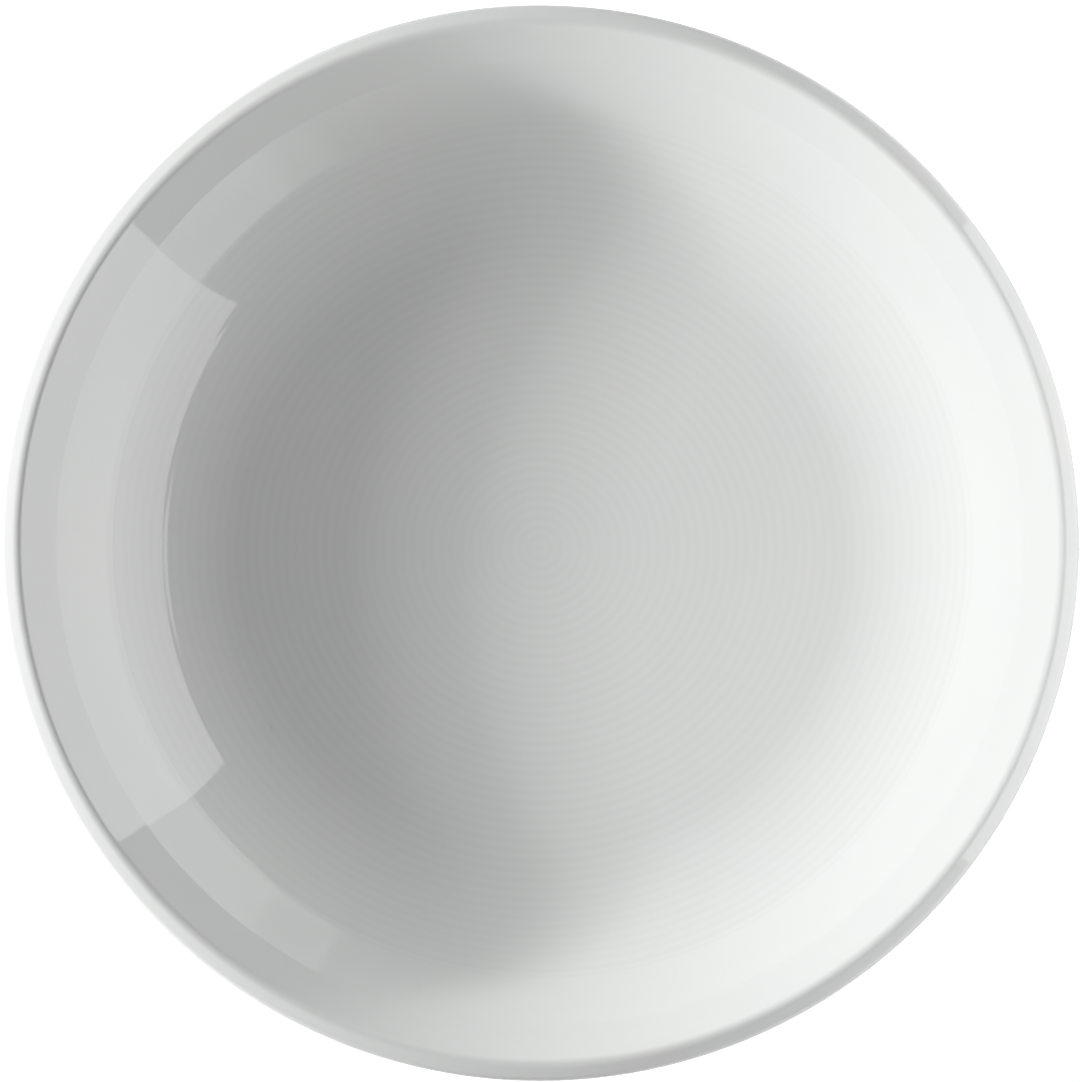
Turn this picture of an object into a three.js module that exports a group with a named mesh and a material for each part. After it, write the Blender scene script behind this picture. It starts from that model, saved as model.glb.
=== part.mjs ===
// A deep soup plate in white porcelain, turned about one axis.
// The fired body carries two separate coats of glaze: one covers the well, the rim and the outside,
// the other lies inside the foot ring. The foot that the plate stands on is bare.
// Millimetres, +Z up, origin at the centre of the circle that the foot stands on.

import * as THREE from "three";

// Driving dimensions of the whole plate
const plateDiameter = 220;
const glazeThickness = 0.3;
const baseThickness = 4.7;
const wallThickness = 4.5;

// The well: a level ribbed floor that sweeps up to a straight smooth wall
const sweepWidth = 26.8;
const sweepRadius = 45;
const wallWidth = 10.2;
const wallSlope = THREE.MathUtils.degToRad(42);

// The rim: the wall ends at a crease, a flatter lip runs up to a ridge, and a bevel falls to the round edge
const rimWidth = 11;
const lipSlope = THREE.MathUtils.degToRad(36);
const lipBendRadius = 8;
const ridgeRadius = 1.2;
const bevelWidth = 3.2;
const bevelSlope = THREE.MathUtils.degToRad(28);
const edgeRadius = 1.5;

// The foot ring, under the rim of the level floor
const footHeight = 4;
const footInset = 0.5;
const footWidth = 3.4;
const footEdgeRadius = 0.5;
const footFlankSlope = THREE.MathUtils.degToRad(70);
const footFilletRadius = 1.5;
const bareFootHeight = 1.6;

// Facets
const turnSegments = 48;
const sweepSteps = 6;
const roundSteps = 6;
const filletSteps = 2;

// Radii and heights that follow from the driving dimensions
const bodyRadius = plateDiameter / 2 - glazeThickness;
const creaseRadius = plateDiameter / 2 - rimWidth;
const ribbedRadius = creaseRadius - wallWidth;
const wellFlatRadius = ribbedRadius - sweepWidth;
const footRadius = wellFlatRadius - footInset;
const floorHeight = footHeight + baseThickness;

const upright = Math.PI / 2;
const point = (radius, height) => new THREE.Vector2(radius, height);
const heading = (angle) => point(Math.cos(angle), Math.sin(angle));

// Points along an arc of an ellipse, both ends included.
function arc(centre, halfWidth, halfHeight, fromAngle, toAngle, steps) {
  return Array.from({ length: steps + 1 }, (_, i) => {
    const spoke = heading(THREE.MathUtils.lerp(fromAngle, toAngle, i / steps));
    return spoke.multiply(point(halfWidth, halfHeight)).add(centre);
  });
}

// Where a line through a, along angleA, meets a line through b, along angleB.
function crossing(a, angleA, b, angleB) {
  const along = heading(angleA);
  const other = heading(angleB);
  const reach = b.clone().sub(a).cross(other) / along.cross(other);
  return a.clone().addScaledVector(along, reach);
}

// Points of a fillet that rounds a corner, given the headings of the lines into and out of it.
function fillet(corner, angleIn, angleOut, radius) {
  const turn = angleOut - angleIn;
  const square = Math.sign(turn) * upright;
  const centre = corner
    .clone()
    .addScaledVector(heading(angleIn), -radius * Math.tan(Math.abs(turn) / 2))
    .addScaledVector(heading(angleIn + square), radius);
  return arc(centre, radius, radius, angleIn - square, angleOut - square, filletSteps);
}

// The outline moved by a distance to the right of its direction of travel, which is the side of the air.
function offset(outline, distance) {
  const angles = outline.slice(1).map((p, i) => p.clone().sub(outline[i]).angle());
  return outline.map((p, i) => {
    const before = angles[Math.max(i - 1, 0)];
    const after = angles[Math.min(i, angles.length - 1)];
    const half = Math.atan2(Math.sin(after - before), Math.cos(after - before)) / 2;
    const outwards = heading(before + half - upright);
    return p.clone().addScaledVector(outwards, distance / Math.cos(half));
  });
}

// Eating surface, from the crease down the smooth wall and the sweep to the axis.
const sweepCentre = point(wellFlatRadius, floorHeight + sweepRadius);
const sweepSlope = Math.asin(sweepWidth / sweepRadius);
const sweep = arc(sweepCentre, sweepRadius, sweepRadius, sweepSlope - upright, -upright, sweepSteps);
const crease = crossing(sweep[0], wallSlope, point(creaseRadius, 0), upright);
const well = [crease, ...sweep, point(0, floorHeight)];

// Rim, from under the lip, round the widest circle and up the bevel to the ridge where the lip ends.
const ridge = crossing(crease, lipSlope, point(bodyRadius - bevelWidth, 0), upright);
const bevelEnd = bodyRadius - edgeRadius * (1 - Math.sin(bevelSlope));
const edgeTop = crossing(ridge, -bevelSlope, point(bevelEnd, 0), upright);
const edgeCentre = edgeTop.clone().addScaledVector(heading(upright - bevelSlope), -edgeRadius);
const rim = [
  ...arc(edgeCentre, edgeRadius, edgeRadius, lipSlope - upright, upright - bevelSlope, roundSteps),
  ...fillet(ridge, Math.PI - bevelSlope, Math.PI + lipSlope, ridgeRadius),
];

// Underside of the base, from the axis to the edge of the glaze on the foot's inner flank.
const innerContact = point(footRadius - footWidth / 2, 0);
const outerContact = point(footRadius + footWidth / 2, 0);
const recessCorner = crossing(point(0, footHeight), 0, innerContact, -footFlankSlope);
const underBase = [
  point(0, footHeight),
  ...fillet(recessCorner, 0, -footFlankSlope, footFilletRadius),
  crossing(point(0, bareFootHeight), 0, innerContact, -footFlankSlope),
];

// Bare foot: both flanks below the glaze and the flat face that the plate stands on.
const bareFoot = [
  ...fillet(innerContact, -footFlankSlope, 0, footEdgeRadius),
  ...fillet(outerContact, 0, footFlankSlope, footEdgeRadius),
];

// Outside of the bowl, one wall thickness below the well, from the foot's outer flank to under the lip.
const parallel = offset(well, -wallThickness).toReversed();
const footCorner = crossing(parallel[0], 0, outerContact, footFlankSlope);
const footFillet = fillet(footCorner, footFlankSlope, 0, footFilletRadius);
const lipBend = crossing(parallel.at(-2), wallSlope, rim[0], lipSlope);
const outside = [
  crossing(point(0, bareFootHeight), 0, outerContact, footFlankSlope),
  ...footFillet,
  ...parallel.slice(1, -1).filter((p) => p.x > footFillet.at(-1).x + footFilletRadius),
  ...fillet(lipBend, wallSlope, lipSlope, lipBendRadius),
];

const glazedFace = [...outside, ...rim, ...well];
const bareBody = new THREE.MeshStandardMaterial({ color: "#e9e6df", roughness: 0.75, metalness: 0 });
const clearGlaze = new THREE.MeshStandardMaterial({ color: "#f3f4f2", roughness: 0.08, metalness: 0 });

// A solid of revolution about the Z axis.
function turned(name, outline, material) {
  const geometry = new THREE.LatheGeometry(outline, turnSegments).rotateX(upright);
  const mesh = new THREE.Mesh(geometry, material);
  mesh.name = name;
  return mesh;
}

const baseCoat = [...offset(underBase, glazeThickness), ...underBase.toReversed()];
const plateCoat = [...glazedFace.toReversed(), ...offset(glazedFace, glazeThickness)];

const plate = new THREE.Group();
plate.add(
  turned("porcelain_body", [...underBase, ...bareFoot, ...glazedFace], bareBody),
  turned("base_glaze", baseCoat, clearGlaze),
  turned("plate_glaze", plateCoat, clearGlaze),
);

export default plate;
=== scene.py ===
import math

import bpy
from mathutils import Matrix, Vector


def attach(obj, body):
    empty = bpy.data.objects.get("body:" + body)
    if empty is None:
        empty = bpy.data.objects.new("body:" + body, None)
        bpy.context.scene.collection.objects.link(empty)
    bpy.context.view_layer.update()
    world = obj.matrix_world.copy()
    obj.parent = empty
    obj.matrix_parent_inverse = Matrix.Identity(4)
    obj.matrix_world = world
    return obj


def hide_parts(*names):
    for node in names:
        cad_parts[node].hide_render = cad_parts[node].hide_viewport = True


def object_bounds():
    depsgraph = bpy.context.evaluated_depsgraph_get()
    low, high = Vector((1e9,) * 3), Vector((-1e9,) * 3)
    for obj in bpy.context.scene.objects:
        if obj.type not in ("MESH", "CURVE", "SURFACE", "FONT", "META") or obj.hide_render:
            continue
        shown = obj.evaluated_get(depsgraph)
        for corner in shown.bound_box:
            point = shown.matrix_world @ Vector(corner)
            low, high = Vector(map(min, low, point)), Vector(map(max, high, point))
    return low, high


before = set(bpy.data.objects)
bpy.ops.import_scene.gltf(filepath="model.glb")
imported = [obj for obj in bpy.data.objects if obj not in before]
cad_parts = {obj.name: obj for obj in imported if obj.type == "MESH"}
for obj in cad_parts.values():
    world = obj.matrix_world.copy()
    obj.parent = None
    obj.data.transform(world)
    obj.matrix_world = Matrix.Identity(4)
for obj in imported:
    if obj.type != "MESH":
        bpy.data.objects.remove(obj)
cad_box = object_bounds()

MM = 0.001
UPRIGHT = math.pi / 2

# Sizes of the plate in millimetres, as in the part's source
PLATE_RADIUS = 110
GLAZE = 0.3
BASE = 4.7
WALL = 4.5
SWEEP_WIDTH = 26.8
SWEEP_RADIUS = 45
WALL_WIDTH = 10.2
WALL_SLOPE = math.radians(42)
RIM_WIDTH = 11
LIP_SLOPE = math.radians(36)
LIP_BEND = 8
BEVEL_WIDTH = 3.2
BEVEL_SLOPE = math.radians(28)
EDGE = 1.5
FOOT_HEIGHT = 4
FOOT_INSET = 0.5
FOOT_WIDTH = 3.4
FOOT_EDGE = 0.5
FOOT_SLOPE = math.radians(70)
FOOT_FILLET = 1.5
BARE_FOOT = 1.6

# Radii, heights and slopes that follow from those sizes
BODY_RADIUS = PLATE_RADIUS - GLAZE
CREASE_RADIUS = PLATE_RADIUS - RIM_WIDTH
WELL_FLAT = CREASE_RADIUS - WALL_WIDTH - SWEEP_WIDTH
FOOT_RADIUS = WELL_FLAT - FOOT_INSET
FLOOR_HEIGHT = FOOT_HEIGHT + BASE
SWEEP_SLOPE = math.asin(SWEEP_WIDTH / SWEEP_RADIUS)
SWEEP_RUN = SWEEP_RADIUS * SWEEP_SLOPE

# Corners as the glaze softens them, and the round end of its coat at the foot, in millimetres
CREASE_ROUND = 2
RIDGE_ROUND = 1.8
WALL_FOOT_ROUND = 25
GLAZE_EDGE = 0.6

# Turned ribs of the well in millimetres, and the share of its tone left in a groove as painted shade
RIB_PITCH = 2.013
RIB_HEIGHT = 0.01
FIRST_RIB = 1.25
PAINTED_GROOVE_SHADE = 0.978

# Patterns of the finishes in millimetres; the grit is drawn coarser than it is, so that it shows
TONE_DRIFT = 35
SMEAR = 12
GLAZE_WAVE = 9
GLAZE_WAVE_DEPTH = 0.02
STAIN = 14
GRIT = 0.5
GRIT_DEPTH = 0.03

# How finely the outlines and the turning are divided
TURN_STEPS = 192
POINTS_PER_RIB = 6
ARC_STEPS = 12
FLAT_STEPS = 2

# Points closer than this, in millimetres, are one, and bends under this angle are shaded smooth
SAME_POINT = 0.002
SMOOTH_BEND = math.radians(40)

# Floor in metres, with the white of its own that it shows near the plate and gains further off
FLOOR_SIZE = 8
FLOOR_LIFT = 0.6
SHADOW_REACH = 0.3
FLOOR_FADE = 1.2

# What the lamps face, in metres
PLATE_MIDDLE = Vector((0, 0, 0.02))

# White panel on the right that the glaze mirrors, with low wings at its sides, in metres
TOWARDS_PLATE = Vector((-1, 0, 0))
PANEL_DISTANCE = 0.5
PANEL_SHIFT = 0.04
PANEL_WIDTH = 0.75
PANEL_HEIGHT = 0.76
PANEL_RADIANCE = 2.6
WING_WIDTH = 0.32
WING_HEIGHT = 0.26
WING_RADIANCE = 1.2
WING_SHIFT = (PANEL_WIDTH + WING_WIDTH) / 2

# Camera in metres: almost straight down from the front, far off, with the rim as wide as the frame
TILT = math.radians(4)
CAMERA_DISTANCE = 2
FRAME_WIDTH = 0.2203
WIDEST_BELOW_TOP = 0.0024


def heading(angle):
    """Unit vector of the section, at an angle above the outward radius."""
    return Vector((math.cos(angle), math.sin(angle)))


def line(start, end, steps):
    """Points along a straight run of the section, both ends included."""
    return [start.lerp(end, i / steps) for i in range(steps + 1)]


def arc(centre, radius, start, end, steps):
    """Points along an arc of a circle, both ends included."""
    return [centre + radius * heading(start + (end - start) * i / steps) for i in range(steps + 1)]


def crossing(a, angle_a, b, angle_b):
    """Where a line through a, along angle_a, meets a line through b, along angle_b."""
    along = heading(angle_a)
    other = heading(angle_b)
    gap = b - a
    reach = (gap.x * other.y - gap.y * other.x) / (along.x * other.y - along.y * other.x)
    return a + reach * along


def fillet(corner, angle_in, angle_out, radius, steps):
    """Points that round a corner, given the headings of the runs into and out of it."""
    turn = angle_out - angle_in
    square = math.copysign(UPRIGHT, turn)
    start = corner - radius * math.tan(abs(turn) / 2) * heading(angle_in)
    centre = start + radius * heading(angle_in + square)
    return arc(centre, radius, angle_in - square, angle_out - square, steps)


def joined(*runs):
    """One outline from several runs, without the points where they meet twice."""
    outline = []
    for point in (p for run in runs for p in run):
        if not outline or (point - outline[-1]).length > SAME_POINT:
            outline.append(point)
    return outline


def glazed_face(floor_steps, sweep_steps, round_steps):
    """The body's section under the glaze: from the axis over the well, rim and outside to the foot."""
    sweep_centre = Vector((WELL_FLAT, FLOOR_HEIGHT + SWEEP_RADIUS))
    sweep = arc(sweep_centre, SWEEP_RADIUS, -UPRIGHT, SWEEP_SLOPE - UPRIGHT, sweep_steps)
    rib_end = sweep[-1]
    crease = crossing(rib_end, WALL_SLOPE, Vector((CREASE_RADIUS, 0)), UPRIGHT)
    wall_foot = fillet(rib_end, SWEEP_SLOPE, WALL_SLOPE, WALL_FOOT_ROUND, round_steps)
    well = joined(
        line(Vector((0, FLOOR_HEIGHT)), sweep[0], floor_steps),
        [point for point in sweep if point.x < wall_foot[0].x],
        wall_foot,
        fillet(crease, WALL_SLOPE, LIP_SLOPE, CREASE_ROUND, round_steps),
    )
    ridge = crossing(crease, LIP_SLOPE, Vector((BODY_RADIUS - BEVEL_WIDTH, 0)), UPRIGHT)
    bevel_end = Vector((BODY_RADIUS - EDGE * (1 - math.sin(BEVEL_SLOPE)), 0))
    edge_top = crossing(ridge, -BEVEL_SLOPE, bevel_end, UPRIGHT)
    edge_centre = edge_top - EDGE * heading(UPRIGHT - BEVEL_SLOPE)
    rim = joined(
        fillet(ridge, LIP_SLOPE, -BEVEL_SLOPE, RIDGE_ROUND, round_steps),
        arc(edge_centre, EDGE, UPRIGHT - BEVEL_SLOPE, LIP_SLOPE - UPRIGHT, 2 * round_steps),
    )
    under_wall = rib_end + WALL * heading(WALL_SLOPE - UPRIGHT)
    lip_bend = crossing(under_wall, WALL_SLOPE, rim[-1], LIP_SLOPE)
    contact = Vector((FOOT_RADIUS + FOOT_WIDTH / 2, 0))
    foot_corner = crossing(Vector((0, FLOOR_HEIGHT - WALL)), 0, contact, FOOT_SLOPE)
    foot_fillet = fillet(foot_corner, math.pi, math.pi + FOOT_SLOPE, FOOT_FILLET, round_steps)
    glaze_line = crossing(Vector((0, BARE_FOOT)), 0, contact, FOOT_SLOPE)
    below = SWEEP_RADIUS + WALL
    foot_slope = math.asin((foot_fillet[0].x + FOOT_FILLET - WELL_FLAT) / below)
    outside = joined(
        fillet(lip_bend, math.pi + LIP_SLOPE, math.pi + WALL_SLOPE, LIP_BEND, round_steps),
        arc(rib_end, WALL, WALL_SLOPE - UPRIGHT, SWEEP_SLOPE - UPRIGHT, round_steps),
        arc(sweep_centre, below, SWEEP_SLOPE - UPRIGHT, foot_slope - UPRIGHT, round_steps),
        foot_fillet,
        line(foot_fillet[-1], glaze_line, round_steps),
    )
    return joined(well, rim, outside)


def under_base(round_steps):
    """The body's section inside the foot ring, from the axis to the edge of the glaze on the foot."""
    middle = Vector((0, FOOT_HEIGHT))
    contact = Vector((FOOT_RADIUS - FOOT_WIDTH / 2, 0))
    corner = crossing(middle, 0, contact, -FOOT_SLOPE)
    bend = fillet(corner, 0, -FOOT_SLOPE, FOOT_FILLET, round_steps)
    glaze_line = crossing(Vector((0, BARE_FOOT)), 0, contact, -FOOT_SLOPE)
    return joined(line(middle, bend[0], round_steps), bend, line(bend[-1], glaze_line, round_steps))


def bare_foot(round_steps):
    """The body's section below the glaze: the outer flank, the standing face and the inner flank."""
    outer = Vector((FOOT_RADIUS + FOOT_WIDTH / 2, 0))
    inner = Vector((FOOT_RADIUS - FOOT_WIDTH / 2, 0))
    return joined(
        fillet(outer, math.pi + FOOT_SLOPE, math.pi, FOOT_EDGE, round_steps),
        fillet(inner, math.pi, math.pi - FOOT_SLOPE, FOOT_EDGE, round_steps),
    )


def rib(travelled):
    """1 on the back of a turned rib and 0 in a groove, at a distance along the well from the axis."""
    if travelled > WELL_FLAT + SWEEP_RUN:
        return 0
    return 0.5 + 0.5 * math.cos(math.tau * (travelled - FIRST_RIB) / RIB_PITCH)


def mark_grooves(piece):
    """Gives each point of the ribbed well its depth in a groove, for the painted shade of the glaze there.
    """
    grooves = piece.data.attributes.new("groove", "FLOAT", "POINT")
    for vertex, groove in zip(piece.data.vertices, grooves.data):
        radius = vertex.co.xy.length / MM
        past_floor = max(radius - WELL_FLAT, 0)
        if past_floor < SWEEP_WIDTH:
            slope = math.asin(past_floor / SWEEP_RADIUS)
            surface = FLOOR_HEIGHT + SWEEP_RADIUS * (1 - math.cos(slope))
            if vertex.co.z / MM > surface + GLAZE / 2:
                groove.value = 1 - rib(radius - past_floor + SWEEP_RADIUS * slope)


def coated(outline, side, rib_height):
    """The outer face of the glaze over an outline that runs from the axis to the edge of the glaze.

    The air is on the left of the outline where side is 1, and on its right where side is -1.
    """
    steps = [there - here for here, there in zip(outline, outline[1:])]
    total = sum(step.length for step in steps)
    travelled = 0
    face = []
    for i, point in enumerate(outline):
        before = steps[max(i - 1, 0)].normalized()
        after = steps[min(i, len(steps) - 1)].normalized()
        along = (before + after).normalized()
        outwards = side * Vector((-along.y, along.x))
        rounding = min((total - travelled) / GLAZE_EDGE, 1)
        thickness = GLAZE * math.sqrt(1 - (1 - rounding) ** 2) + rib_height * rib(travelled)
        face.append(point + thickness / along.dot(before) * outwards)
        if i < len(steps):
            travelled += steps[i].length
    return face


def turned(name, outline, material, node):
    """A piece turned about the Z axis: one point is drawn out along the outline, then spun round."""
    bpy.ops.object.select_all(action="DESELECT")
    bpy.ops.mesh.primitive_plane_add(size=MM)
    piece = bpy.context.object
    piece.name = name
    piece.data.name = name
    bpy.ops.object.mode_set(mode="EDIT")
    bpy.ops.mesh.merge(type="CENTER")
    bpy.ops.transform.translate(value=(outline[0].x * MM, 0, outline[0].y * MM))
    for here, there in zip(outline, outline[1:]):
        step = (there - here) * MM
        bpy.ops.mesh.extrude_vertices_move(TRANSFORM_OT_translate={"value": (step.x, 0, step.y)})
    bpy.ops.mesh.select_all(action="SELECT")
    bpy.ops.mesh.spin(steps=TURN_STEPS, angle=math.tau, center=(0, 0, 0), axis=(0, 0, 1))
    bpy.ops.mesh.select_all(action="SELECT")
    bpy.ops.mesh.remove_doubles(threshold=SAME_POINT * MM)
    bpy.ops.mesh.normals_make_consistent(inside=False)
    bpy.ops.object.mode_set(mode="OBJECT")
    bpy.ops.object.shade_smooth_by_angle(angle=SMOOTH_BEND)
    piece.data.materials.append(material)
    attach(piece, "root")
    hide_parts(node)
    return piece


def linear(hex_colour):
    """Scene-linear colour of an sRGB hex value."""
    parts = [int(hex_colour[i : i + 2], 16) / 255 for i in (1, 3, 5)]
    return (*[c / 12.92 if c <= 0.04045 else ((c + 0.055) / 1.055) ** 2.4 for c in parts], 1)


def add_node(tree, kind, inputs=None, **settings):
    """Adds a node with its settings; an input is a value or the socket that feeds it."""
    made = tree.nodes.new(kind)
    for name, value in settings.items():
        setattr(made, name, value)
    for name, value in (inputs or {}).items():
        if isinstance(value, bpy.types.NodeSocket):
            tree.links.new(value, made.inputs[name])
        else:
            made.inputs[name].default_value = value
    return made


def per_mm(size):
    """Texture scale at which one feature of a pattern is so many millimetres across."""
    return 1 / (size * MM)


def new_material(name):
    """An empty node material and its output node."""
    material = bpy.data.materials.new(name)
    material.use_nodes = True
    tree = material.node_tree
    tree.nodes.clear()
    return material, tree, add_node(tree, "ShaderNodeOutputMaterial")


def glazed_porcelain():
    """Feldspar glaze fired glossy on white porcelain: a clear sharp reflection over a bright, even white.

    The glaze melts level but not flat, so it has a faint waviness, and its tone drifts a little with
    its depth. In the grooves of the ribs the colour is painted a shade darker.
    """
    material, tree, output = new_material("glazed white porcelain")
    place = add_node(tree, "ShaderNodeTexCoord").outputs["Object"]
    drift = add_node(
        tree,
        "ShaderNodeTexNoise",
        {"Vector": place, "Scale": per_mm(TONE_DRIFT), "Detail": 2},
    )
    tone = add_node(
        tree,
        "ShaderNodeMix",
        {"Factor": drift.outputs["Fac"], "A": linear("#e5e8e7"), "B": linear("#e9eae8")},
        data_type="RGBA",
    )
    # Painted shade: the colour is made a little darker in the grooves of the ribs
    groove = add_node(tree, "ShaderNodeAttribute", attribute_name="groove")
    painted_shade = add_node(
        tree,
        "ShaderNodeMapRange",
        {"Value": groove.outputs["Fac"], "To Min": 1, "To Max": PAINTED_GROOVE_SHADE},
    )
    colour = add_node(
        tree,
        "ShaderNodeVectorMath",
        {"Vector": tone.outputs["Result"], "Scale": painted_shade.outputs["Result"]},
        operation="SCALE",
    )
    smear = add_node(tree, "ShaderNodeTexNoise", {"Vector": place, "Scale": per_mm(SMEAR), "Detail": 3})
    gloss = add_node(
        tree,
        "ShaderNodeMapRange",
        {"Value": smear.outputs["Fac"], "To Min": 0.02, "To Max": 0.04},
    )
    waves = add_node(
        tree,
        "ShaderNodeTexNoise",
        {"Vector": place, "Scale": per_mm(GLAZE_WAVE), "Detail": 1},
    )
    bump = add_node(
        tree,
        "ShaderNodeBump",
        {"Height": waves.outputs["Fac"], "Strength": 0.2, "Distance": GLAZE_WAVE_DEPTH * MM},
    )
    coat = add_node(
        tree,
        "ShaderNodeBsdfPrincipled",
        {
            "Base Color": colour.outputs["Vector"],
            "Roughness": gloss.outputs["Result"],
            "IOR": 1.5,
            "Normal": bump.outputs["Normal"],
        },
    )
    tree.links.new(coat.outputs["BSDF"], output.inputs["Surface"])
    return material


def bare_porcelain():
    """Porcelain fired without glaze and rubbed smooth on the foot: dense, matt and slightly warm.

    A fine grit roughens it, and it is faintly stained by the kiln and the table.
    """
    material, tree, output = new_material("unglazed porcelain biscuit")
    place = add_node(tree, "ShaderNodeTexCoord").outputs["Object"]
    grit = add_node(tree, "ShaderNodeTexNoise", {"Vector": place, "Scale": per_mm(GRIT), "Detail": 4})
    stain = add_node(tree, "ShaderNodeTexNoise", {"Vector": place, "Scale": per_mm(STAIN), "Detail": 3})
    tone = add_node(
        tree,
        "ShaderNodeMix",
        {"Factor": stain.outputs["Fac"], "A": linear("#d8d2c6"), "B": linear("#e6e2d8")},
        data_type="RGBA",
    )
    bump = add_node(
        tree,
        "ShaderNodeBump",
        {"Height": grit.outputs["Fac"], "Strength": 0.4, "Distance": GRIT_DEPTH * MM},
    )
    body = add_node(
        tree,
        "ShaderNodeBsdfPrincipled",
        {
            "Base Color": tone.outputs["Result"],
            "Roughness": 0.8,
            "IOR": 1.5,
            "Normal": bump.outputs["Normal"],
        },
    )
    tree.links.new(body.outputs["BSDF"], output.inputs["Surface"])
    return material


def seen(tree):
    """1 on camera, glossy and transmission rays, 0 on the rays that only carry light."""
    path = add_node(tree, "ShaderNodeLightPath").outputs
    either = add_node(
        tree,
        "ShaderNodeMath",
        {0: path["Is Camera Ray"], 1: path["Is Glossy Ray"]},
        operation="MAXIMUM",
    )
    any_of = add_node(
        tree,
        "ShaderNodeMath",
        {0: either.outputs["Value"], 1: path["Is Transmission Ray"]},
        operation="MAXIMUM",
    )
    return any_of.outputs["Value"]


def white_floor():
    """Matt white board: it takes the plate's shadow, and shows white where it is lit or far away."""
    material, tree, output = new_material("matt white board")
    board = add_node(tree, "ShaderNodeBsdfDiffuse", {"Color": linear("#e7e7e7")})
    place = add_node(tree, "ShaderNodeTexCoord").outputs["Object"]
    away = add_node(tree, "ShaderNodeVectorMath", {0: place}, operation="LENGTH")
    lift = add_node(
        tree,
        "ShaderNodeMapRange",
        {
            "Value": away.outputs["Value"],
            "From Min": SHADOW_REACH,
            "From Max": FLOOR_FADE,
            "To Min": FLOOR_LIFT,
        },
    )
    strength = add_node(
        tree,
        "ShaderNodeMath",
        {0: seen(tree), 1: lift.outputs["Result"]},
        operation="MULTIPLY",
    )
    glow = add_node(tree, "ShaderNodeEmission", {"Strength": strength.outputs["Value"]})
    both = add_node(tree, "ShaderNodeAddShader", {0: board.outputs["BSDF"], 1: glow.outputs["Emission"]})
    tree.links.new(both.outputs["Shader"], output.inputs["Surface"])
    return material


def around(distance, turn, rise):
    """A place at a distance from the plate, so many degrees round from the right and up from the table."""
    upwards = heading(math.radians(rise))
    across = heading(math.radians(turn)) * upwards.x
    return PLATE_MIDDLE + distance * Vector((across.x, across.y, upwards.y))


def softbox(name, place, target, width, height, radiance):
    """A flat lamp that faces a target; its radiance is how bright its face looks, with 1 as white."""
    data = bpy.data.lights.new(name, "AREA")
    data.shape = "RECTANGLE"
    data.size = width
    data.size_y = height
    data.energy = radiance * math.pi * width * height
    lamp = bpy.data.objects.new(name, data)
    bpy.context.scene.collection.objects.link(lamp)
    lamp.location = place
    lamp.rotation_euler = (target - place).to_track_quat("-Z", "Y").to_euler()
    return lamp


# The plate
glaze = glazed_porcelain()
biscuit = bare_porcelain()
rib_step = RIB_PITCH / POINTS_PER_RIB
fine_face = glazed_face(
    floor_steps=round(WELL_FLAT / rib_step),
    sweep_steps=round(SWEEP_RUN / rib_step),
    round_steps=ARC_STEPS,
)
plain_face = glazed_face(floor_steps=FLAT_STEPS, sweep_steps=ARC_STEPS, round_steps=ARC_STEPS // 2)
base_face = under_base(ARC_STEPS)
plate = turned(
    "glazed_well_rim_and_outside",
    joined(coated(fine_face, side=1, rib_height=RIB_HEIGHT), reversed(plain_face)),
    glaze,
    "plate_glaze",
)
mark_grooves(plate)
turned(
    "glazed_base",
    joined(coated(base_face, side=-1, rib_height=0), reversed(base_face)),
    glaze,
    "base_glaze",
)
turned(
    "bare_foot_and_body",
    joined(plain_face, bare_foot(ARC_STEPS), reversed(base_face)),
    biscuit,
    "porcelain_body",
)

# The floor
bpy.ops.object.select_all(action="DESELECT")
bpy.ops.mesh.primitive_plane_add(size=FLOOR_SIZE)
floor = bpy.context.object
floor.name = "floor"
floor.data.materials.append(white_floor())

# White surroundings, which are seen and mirrored but give no light
world = bpy.data.worlds.new("studio")
bpy.context.scene.world = world
world.use_nodes = True
sky = world.node_tree
sky.links.new(seen(sky), sky.nodes["Background"].inputs["Strength"])
sky.nodes["Background"].inputs["Color"].default_value = linear("#ffffff")

# Lamps: a low key far off on the left, fills on the right, and low ones in front and behind for the rim
for name, place, width, height, radiance in (
    ("key", around(1.5, 174, 12), 0.18, 0.1, 368),
    ("key_edge", around(1.5, 175, 16), 0.5, 0.13, 45),
    ("fill", around(0.5, -6, 42), 0.3, 0.08, 19),
    ("back_fill", around(0.5, 50, 12), 0.2, 0.1, 5.2),
    ("low_front", around(1, -90, 2), 0.8, 0.08, 12),
    ("low_back", around(1, 90, 2), 0.8, 0.08, 8),
):
    softbox(name, place, PLATE_MIDDLE, width, height, radiance).visible_glossy = False

# What the glaze mirrors: the panel and its wings, whose ends are half as bright
for name, shift, width, height, radiance in (
    ("panel", 0, PANEL_WIDTH, PANEL_HEIGHT, PANEL_RADIANCE),
    ("front_wing", -WING_SHIFT, WING_WIDTH, WING_HEIGHT, WING_RADIANCE),
    ("back_wing", WING_SHIFT, WING_WIDTH, WING_HEIGHT, WING_RADIANCE),
    ("front_wing_end", -WING_SHIFT - WING_WIDTH, WING_WIDTH, WING_HEIGHT, WING_RADIANCE / 2),
    ("back_wing_end", WING_SHIFT + WING_WIDTH, WING_WIDTH, WING_HEIGHT, WING_RADIANCE / 2),
):
    place = Vector((PANEL_DISTANCE, PANEL_SHIFT + shift, height / 2))
    softbox(name, place, place + TOWARDS_PLATE, width, height, radiance).visible_diffuse = False

# The camera
aim = Vector((0, 0, cad_box[1][2] - WIDEST_BELOW_TOP))
lens = bpy.data.cameras.new("camera")
lens.sensor_fit = "HORIZONTAL"
lens.lens = lens.sensor_width * CAMERA_DISTANCE / FRAME_WIDTH
camera = bpy.data.objects.new("camera", lens)
bpy.context.scene.collection.objects.link(camera)
camera.location = aim + CAMERA_DISTANCE * Vector((0, -math.sin(TILT), math.cos(TILT)))
camera.rotation_euler = (TILT, 0, 0)
bpy.context.scene.camera = camera
bpy.context.scene.view_settings.view_transform = "Standard"
